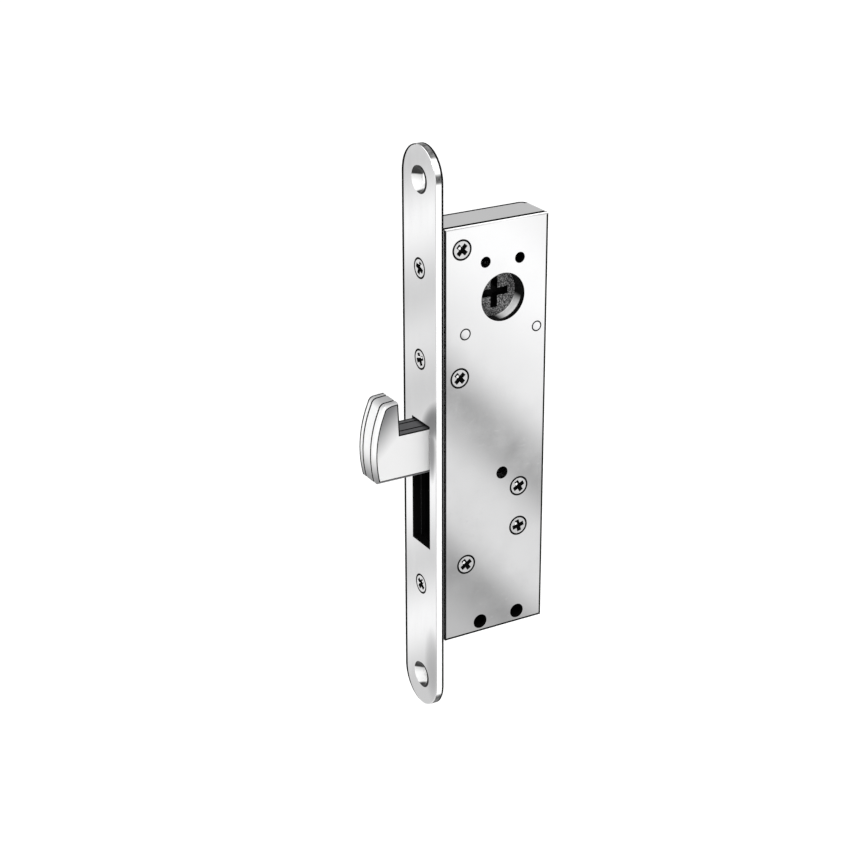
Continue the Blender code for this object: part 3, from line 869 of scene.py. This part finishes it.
def build_cover():
    low, high = node_box("case_cover")
    outline = rectangle(low.x, high.x, low.z, high.z)
    bright = low.y + COVER_HIGHLIGHT_DEPTH
    border = [COVER_BORDER, COVER_BORDER, COVER_BORDER, COVER_FRONT_BORDER]
    cover = rounded_prism(
        "case_cover_sheet", outline, (low.y, high.y - SEAM), (COVER_EDGE, COVER_BACK_EDGE), "Y",
        MATERIALS["case_sheet"], [(border, low.y), (0.0, bright)])
    front, rear, bottom = low.x + COVER_FRONT_BORDER, high.x - COVER_BORDER, low.z + COVER_BORDER
    # Painted shade: black lines along the cover's front, rear and bottom edges
    paint(cover, EDGE_LINE, lambda at, normal: at.y < low.y + COVER_EDGE
          and (at.x < front or at.x > rear or at.z < bottom))
    # A painted highlight: white satin along the top of the cover's front edge
    paint(cover, MATERIALS["plate_edge"], lambda at, normal: normal.z > 0.3 and at.y < bright)
    # Painted shade: the cover's back, seen through the seam, is black
    paint(cover, SHADOW, lambda at, normal: at.y > bright)
    faces = (low.y, high.y)
    cut(cover, bore("window_tool", FOLLOWER, RECESS_R, faces, SHADOW, 2 * ROUND_STEPS))
    for screw in SCREWS:
        if screw.axis == "Y":
            cut(cover, sink_tool(screw, high.y))
    for x, z, radius in CASE_HOLES:
        cut(cover, bore("hole_tool", (x, z), radius, faces, SHADOW))
    for name in RIVETS:
        rivet_low, rivet_high = node_box(name)
        middle = (rivet_low + rivet_high) / 2
        radius = (rivet_high.x - rivet_low.x) / 2
        cut(cover, bore("rivet_tool", (middle.x, middle.z), radius + GAP / 2, faces, SHADOW))
    finish_piece(cover, "case", "case_cover")


def build_tray():
    low, high = node_box("case_body")
    cover_low, cover_high = node_box("case_cover")
    corner = (high.x - CASE_CORNER_R, high.y - CASE_CORNER_R)
    outline = [(low.x, low.y), (high.x, low.y)]
    outline += arc(corner, CASE_CORNER_R, 0, 90, CORNER_STEPS) + [(low.x, high.y)]
    borders = [(TOP_BORDER, low.z), (TOP_BORDER, high.z)]
    tray = rounded_prism(
        "case_tray", outline, (low.z, high.z), (TRAY_EDGE, TRAY_EDGE), "Z", MATERIALS["case_sheet"], borders)
    # Painted shade: a black line along the far corner of the tray's top and bottom faces
    paint(tray, EDGE_LINE, lambda at, normal: abs(at.z) > high.z - TRAY_EDGE and at.y > corner[1])
    wall_inner = cover_low.x - GAP
    over = rectangle(wall_inner, high.x + PAST, low.y - PAST, cover_high.y + GAP + SEAM)
    cut(tray, prism("over_tool", over, (low.z - PAST, high.z + PAST), "Z", SHADOW))
    floor = high.y - SHEET
    room = [(wall_inner, low.y - PAST), (high.x - SHEET, low.y - PAST)]
    room += arc(corner, CASE_CORNER_R - SHEET, 0, 90, CORNER_STEPS) + [(wall_inner, floor)]
    cut(tray, prism("room_tool", room, (low.z + SHEET, high.z - SHEET), "Z", SHADOW))
    front_wall = (low.x - PAST, wall_inner + PAST)
    cut(tray, prism("slot_tool", bolt_slot(), front_wall, "X", SHADOW))
    for screw in SCREWS:
        if screw.axis == "X":
            hole = circle(screw.centre, SHANK_R + GAP, SCREW_HOLE_STEPS)
            cut(tray, prism("wall_tool", hole, front_wall, "X", SHADOW))
    faces = (floor, high.y)
    for x, z, radius in CASE_HOLES:
        cut(tray, bore("hole_tool", (x, z), radius, faces, SHADOW))
    for centre in SPIGOTS:
        cut(tray, bore("spigot_tool", centre, SPIGOT_R + GAP, faces, SHADOW))
    cut(tray, bore("pivot_tool", PIVOT, PIVOT_R - PIVOT_STEP, faces, SHADOW))
    cut(tray, bore("window_tool", FOLLOWER, RECESS_R, faces, SHADOW, 2 * ROUND_STEPS))
    bearing = [(JOURNAL_R + GAP, floor - PAST), (JOURNAL_R + GAP, floor + BEARING_DEPTH)]
    cut(tray, turned("bearing_tool", bearing, FOLLOWER, "Y", ROUND_STEPS, SHADOW))
    finish_piece(tray, "case", "case_body")


def build_screw(screw):
    """A countersunk screw with a chamfered rim and a tapered cross recess, painted black as shade, that opens
    into a cone of white satin as a painted highlight.
    """
    name, centre, face, head_r, end, axis = screw
    profile = [
        (head_r - HEAD_RING, face),
        (head_r - HEAD_ROUND[0], face + HEAD_ROUND[1]),
        (head_r, face + HEAD_LAND),
        (SHANK_R, face + head_r - SHANK_R + CONE_DROP),
        (SHANK_R, end - SHANK_CHAMFER),
        (SHANK_R - SHANK_CHAMFER, end),
    ]
    piece = turned(f"{name}_body", profile, centre, axis, SMALL_STEPS, MATERIALS["screw_steel"])
    inward = Vector((0.0, 1.0, 0.0)) if axis == "Y" else Vector((1.0, 0.0, 0.0))
    # Painted shade: a black ring round the head
    paint(piece, EDGE_LINE, lambda at, normal: normal.dot(inward) > -HEAD_FLAT_ON)
    turn = SCREW_ANGLES[name]
    length, width = CROSS_RECESS
    wide = cross_outline(centre, length, width, turn)
    deep = cross_outline(centre, length * RECESS_TAPER[0], width * RECESS_TAPER[1], turn)
    rows = ((wide, face - RECESS_RISE), (deep, face + RECESS_DEPTH))
    cut(piece, loft("recess_tool", rows, axis, SHADOW))
    shift = -HOLLOW_SHIFT if axis == "Y" else HOLLOW_SHIFT
    lit = (centre[0] + shift, centre[1] + HOLLOW_SHIFT)
    # A painted highlight: the cone in the recess's middle is white satin
    hollow = [(HOLLOW_R[0], face - RECESS_RISE), (HOLLOW_R[1], face + HOLLOW_DEPTH)]
    cut(piece, turned("hollow_tool", hollow, lit, axis, HOLLOW_STEPS, MATERIALS["plate_edge"]))
    finish_piece(piece, "case", name)


def hook_outline(hub_r, with_tail):
    """The hook's head and neck, closed round a hub, and round the crank's eye where it has a tail."""
    neck_angle = math.degrees(math.asin((NECK_TOP - PIVOT[1]) / hub_r))
    points = [(NOTCH_X, NECK_TOP), TIP_FRONT]
    points += arc_through(TIP_BACK, TIP_ROUND, TIP_SHOULDER, TIP_STEPS)[:-1]
    points += arc_through(TIP_SHOULDER, HEAD_MIDDLE, (HEAD_BOTTOM_X, HOOK_BOTTOM), BACK_STEPS)
    points.append((BODY_END_X, HOOK_BOTTOM))
    if with_tail:
        points += arc((PIVOT[0], PIVOT[1] - CRANK_R), EYE_R, 180, 360, EYE_STEPS)
    start, steps = TAIL_HUB if with_tail else PLAIN_HUB
    return points + arc(PIVOT, hub_r, start, 180 - neck_angle, steps)


def hook_layer(node, hub_r, with_tail, rims):
    """One layer of the hook. On the near one the curved back has a broad bevel, narrower over the tip."""
    low, high = node_box(node)
    outline = hook_outline(hub_r, with_tail)
    near, far = rims
    outer = [near] * len(outline)
    inner = [near / 2] * len(outline)
    line_depth, bevel_depth = near / 2, near
    if node == "hook_plate_near":
        line_depth, bevel_depth = LINE_DEPTH, NOSE_BEVEL
        for i, (x, z) in enumerate(outline):
            next_z = outline[(i + 1) % len(outline)][1]
            on_tip = (x, z) == TIP_FRONT
            on_back = x < TIP_FRONT[0] and next_z < z
            inner[i] = TIP_BEVEL if on_tip else NOSE_BEVEL if on_back else PLAIN_BEVEL
            outer[i] = inner[i] + BACK_LINE if on_tip or on_back else LINE_WIDTH
    rows = ((outer, low.y), (inner, low.y + line_depth), (0.0, low.y + bevel_depth),
            (0.0, high.y - far - FAR_LINE), (0.0, high.y - far), (far, high.y))
    sections = [(inset(outline, amount), along) for amount, along in rows]
    return loft(f"{node}_layer", sections, "Y", MATERIALS["hook_edge"])


def build_hook():
    for node, hub_r, with_tail, rims in HOOK_LAYERS:
        low, high = node_box(node)
        far_line = high.y - rims[1] - FAR_LINE
        piece = hook_layer(node, hub_r, with_tail, rims)
        # Painted shade: the neck's top faces take a dark steel
        neck = MATERIALS["neck_steel"]
        paint(piece, neck, lambda at, normal: normal.z > 0.7 and at.z < NECK_TOP + NECK_MARGIN)
        # Painted shade: black lines along each layer's edges and in the joints between the layers
        if node == "hook_plate_near":
            paint(piece, EDGE_LINE, lambda at, normal: 0.8 < abs(normal.y) < FLAT_ON or 0.6 < normal.y < 0.8)
        else:
            paint(piece, EDGE_LINE, lambda at, normal: 0.1 < abs(normal.y) < 0.95)
        if node == "hook_plate_far":
            paint(piece, EDGE_LINE, lambda at, normal: at.y > far_line and abs(normal.y) < 0.95)
        paint(piece, MATERIALS["hook_steel"], lambda at, normal: normal.y < -FLAT_ON)
        faces = (low.y, high.y)
        cut(piece, bore("pivot_tool", PIVOT, PIVOT_R + GAP, faces))
        for centre in HOOK_RIVETS:
            cut(piece, bore("rivet_tool", centre, HOOK_RIVET_R + GAP, faces))
        if with_tail:
            cut(piece, bore("crank_tool", (PIVOT[0], PIVOT[1] - CRANK_R), CRANK_HOLE_R, faces))
        finish_piece(piece, "hook", node)
        piece.visible_glossy = False


def build_rivet(name):
    low, high = node_box(name)
    middle = (low + high) / 2
    radius = (high.x - low.x) / 2
    profile = [(radius - RIVET_RING, low.y), (radius, low.y + RIVET_RING / 2), (radius, high.y)]
    rivet = turned(f"{name}_end", profile, (middle.x, middle.z), "Y", SMALL_STEPS, MATERIALS["case_sheet"])
    # Painted shade: a black ring round the rivet's end
    paint(rivet, EDGE_LINE, lambda at, normal: normal.y > -HEAD_FLAT_ON)
    finish_piece(rivet, "case", name)


def dress_nodes():
    """Gives the CAD pieces that stay their procedural materials."""
    slots = {row["node"]: row["material_slot"] for row in frame["record"]["subparts"]}
    for name, node in frame["nodes"].items():
        node.data.materials.clear()
        node.data.materials.append(MATERIALS[slots[name]])


# ---------------------------------------------------------------- studio

def linear(shown):
    """Scene brightness that shows as this share of white on the plated metal."""
    level = shown / 12.92 if shown <= 0.04045 else ((shown + 0.055) / 1.055) ** 2.4
    return level / PLATING[0]


def cards(graph, along, band, shades):
    """Cards that blend into each other along a direction, each repeat a mirror image of the last.

    band is where the cards start and how far they reach.
    """
    shift, width = band
    folded = graph.math("PINGPONG", graph.math("SUBTRACT", along, shift), width)
    return graph.ramp(graph.math("DIVIDE", folded, width), [(at, linear(shade)) for at, shade in shades])


def build_world():
    """A soft white studio with diagonal grey cards below the horizon, as metal is lit for a catalogue."""
    world = bpy.data.worlds.new("studio")
    bpy.context.scene.world = world
    world.use_nodes = True
    graph = Graph(world.node_tree)
    world.node_tree.nodes.clear()
    direction = graph.node("ShaderNodeTexCoord").outputs["Generated"]
    x, y, z = graph.parts(direction)
    front_slant = graph.math("ADD", z, graph.math("MULTIPLY", x, FRONT_SLANT))
    back_slant = graph.math("ADD", z, graph.math("MULTIPLY", y, BACK_SLANT))
    front = cards(graph, front_slant, FRONT_BAND, FRONT_CARDS)
    back = cards(graph, back_slant, BACK_BAND, BACK_CARDS)
    behind = graph.smooth(y, *BEHIND_EDGE)
    below = graph.mix(behind, front, back)
    towards = graph.math("MULTIPLY", x, BLACK_CARD[0])
    towards = graph.math("ADD", towards, graph.math("MULTIPLY", y, BLACK_CARD[1]))
    towards = graph.math("ADD", towards, graph.math("MULTIPLY", z, BLACK_CARD[2]))
    below = graph.mix(graph.smooth(towards, *BLACK_CARD_EDGE), below, BLACK_CARD_LEVEL)

    front_above = graph.smooth(z, *SKY_FADE, linear(SKY_LOW), linear(SKY_HIGH))
    above = graph.mix(behind, front_above, linear(SKY_BEHIND))
    above = graph.mix(graph.smooth(z, *CEILING_EDGE), above, CEILING_LEVEL)
    light = graph.mix(graph.smooth(z, *HORIZON_EDGE), below, above)

    seen = graph.node("ShaderNodeLightPath").outputs["Is Camera Ray"]
    background = graph.node("ShaderNodeBackground")
    background.inputs["Color"].default_value = (1.0, 1.0, 1.0, 1.0)
    graph.link(graph.mix(seen, light, 1.0), background.inputs["Strength"])
    output = graph.node("ShaderNodeOutputWorld")
    graph.link(background.outputs[0], output.inputs["Surface"])


def build_floor():
    """A plain white floor, below the lock, which hangs free as it would on a stand."""
    bm = bmesh.new()
    bmesh.ops.create_circle(bm, cap_ends=True, segments=ROUND_STEPS, radius=FLOOR_RADIUS)
    floor = make_piece("studio_floor", bm)
    floor.location.z = CAD_BOX[0][2] - FLOOR_DROP
    made, _, shader, _ = new_material("floor_paper")
    shader.inputs["Base Color"].default_value = (0.92, 0.92, 0.92, 1.0)
    shader.inputs["Roughness"].default_value = 0.9
    floor.data.materials.append(made)
    floor.visible_glossy = False


def build_lamp():
    """A large soft key light, in front of the lock on the cover's side and above it."""
    lamp = bpy.data.lights.new("key", "AREA")
    lamp.shape = "DISK"
    lamp.size = LAMP_SIZE
    lamp.energy = LAMP_POWER
    key = bpy.data.objects.new("key", lamp)
    bpy.context.scene.collection.objects.link(key)
    key.location = LAMP_PLACE
    key.rotation_euler = (-key.location).to_track_quat("-Z", "Y").to_euler()


def build_camera():
    azimuth, elevation = math.radians(CAMERA_AZIMUTH), math.radians(CAMERA_ELEVATION)
    level = math.cos(elevation)
    back = Vector((math.sin(azimuth) * level, -math.cos(azimuth) * level, math.sin(elevation)))
    right = Vector((math.cos(azimuth), math.sin(azimuth), 0.0))
    up = back.cross(right)
    turn = Matrix((right, up, back)).transposed() @ Matrix.Rotation(math.radians(CAMERA_ROLL), 3, "Z")
    data = bpy.data.cameras.new("camera")
    data.lens = CAMERA_LENS
    data.clip_start = 0.01
    camera = bpy.data.objects.new("camera", data)
    bpy.context.scene.collection.objects.link(camera)
    camera.matrix_world = Matrix.Translation(CAMERA_PLACE) @ turn.to_4x4()
    bpy.context.scene.camera = camera


build_camera()
build_world()
build_floor()
build_lamp()
bpy.context.scene.view_settings.view_transform = "Standard"
dress_nodes()
build_faceplate()
build_cover()
build_tray()
for each in SCREWS:
    build_screw(each)
build_hook()
for rivet_name in RIVETS:
    build_rivet(rivet_name)
